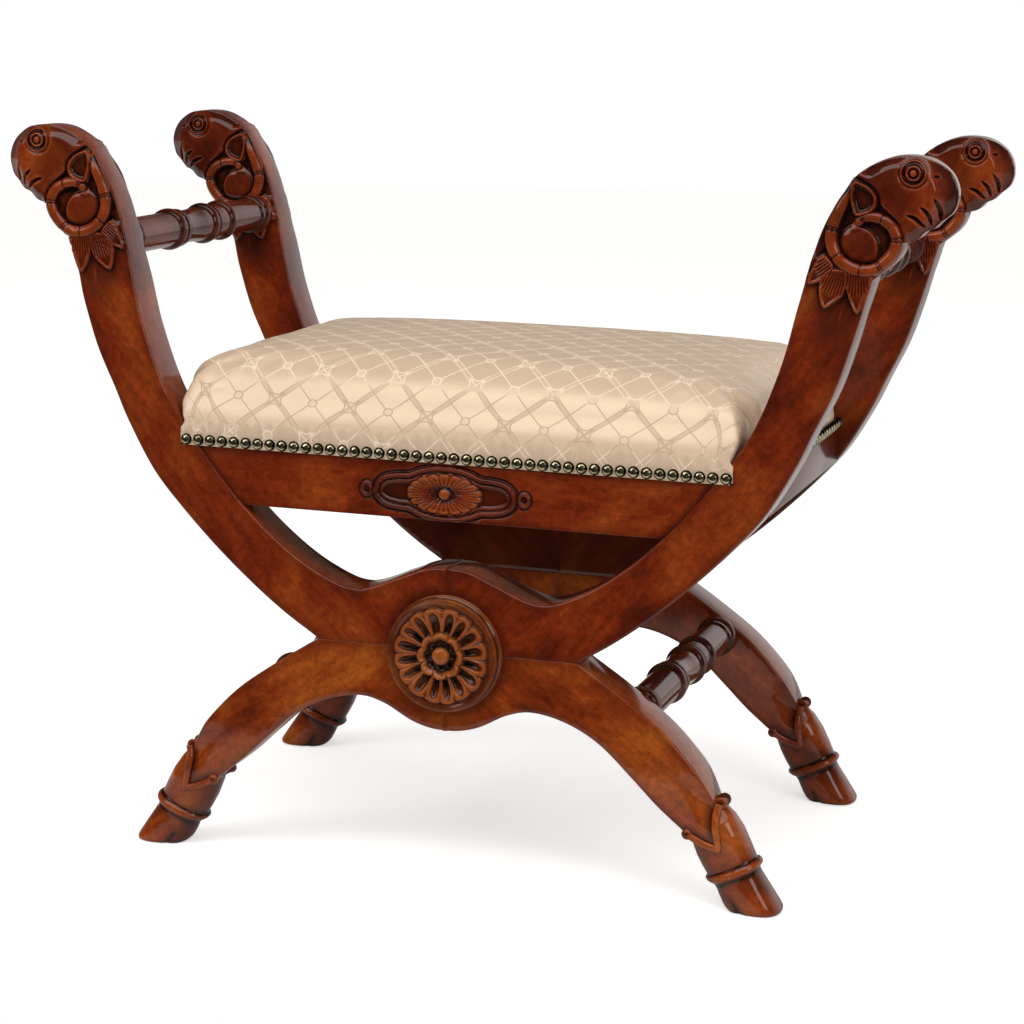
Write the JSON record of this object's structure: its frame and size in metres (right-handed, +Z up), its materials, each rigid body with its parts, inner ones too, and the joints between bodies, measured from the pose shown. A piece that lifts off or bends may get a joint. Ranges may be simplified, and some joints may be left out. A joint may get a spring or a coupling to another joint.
{
  "type": "x frame stool",
  "caption": "Window bench with curved crossed frames, ram's head arm ends, hoof feet, turned rails, hub rosettes and a crowned upholstered seat edged with nails.",
  "frame": {"origin": "on the floor, at the middle of the footprint", "axes": "+X along the seat to the right-hand arms, +Y from the front frame to the back frame, +Z up"},
  "size_m": [0.914, 0.4566, 0.701],
  "materials": {
    "mahogany": "glossy red-brown mahogany stain with lighter rubbed centres",
    "carved_mahogany": "glossy mahogany stain with dark glaze in the carving",
    "beech": "plain unfinished beech",
    "plywood": "bare plywood",
    "foam": "open-cell upholstery foam",
    "satin": "champagne satin damask with a raised trellis of rings and stars",
    "aged_brass": "antiqued brass domes, dark in the hollows",
    "steel": "plain steel wood screws"
  },
  "bodies": {
    "root": {"front_left_arm": "mahogany", "front_right_arm": "mahogany", "back_left_arm": "mahogany", "back_right_arm": "mahogany", "front_left_leg": "mahogany", "front_right_leg": "mahogany", "back_left_leg": "mahogany", "back_right_leg": "mahogany", "front_rosette": "carved_mahogany", "front_apron": "mahogany", "back_rosette": "carved_mahogany", "back_apron": "mahogany", "left_seat_rail": "mahogany", "left_hand_rail": "mahogany", "left_stretcher": "mahogany", "right_seat_rail": "mahogany", "right_hand_rail": "mahogany", "right_stretcher": "mahogany", "seat_board": "plywood", "seat_foam": "foam", "seat_cover": "satin", "front_nail_band": "aged_brass", "back_nail_band": "aged_brass", "left_nail_band": "aged_brass", "right_nail_band": "aged_brass", "front_left_corner_block": "beech", "front_left_seat_screw": "steel", "front_left_hub_dowel_1": "beech", "front_left_apron_dowel_1": "beech", "front_left_hub_dowel_2": "beech", "front_left_apron_dowel_2": "beech", "front_right_corner_block": "beech", "front_right_seat_screw": "steel", "front_right_hub_dowel_1": "beech", "front_right_apron_dowel_1": "beech", "front_right_hub_dowel_2": "beech", "front_right_apron_dowel_2": "beech", "front_cross_dowel_1": "beech", "front_cross_dowel_2": "beech", "front_cross_dowel_3": "beech", "back_left_corner_block": "beech", "back_left_seat_screw": "steel", "back_left_hub_dowel_1": "beech", "back_left_apron_dowel_1": "beech", "back_left_hub_dowel_2": "beech", "back_left_apron_dowel_2": "beech", "back_right_corner_block": "beech", "back_right_seat_screw": "steel", "back_right_hub_dowel_1": "beech", "back_right_apron_dowel_1": "beech", "back_right_hub_dowel_2": "beech", "back_right_apron_dowel_2": "beech", "back_cross_dowel_1": "beech", "back_cross_dowel_2": "beech", "back_cross_dowel_3": "beech"}
  },
  "joints": []
}
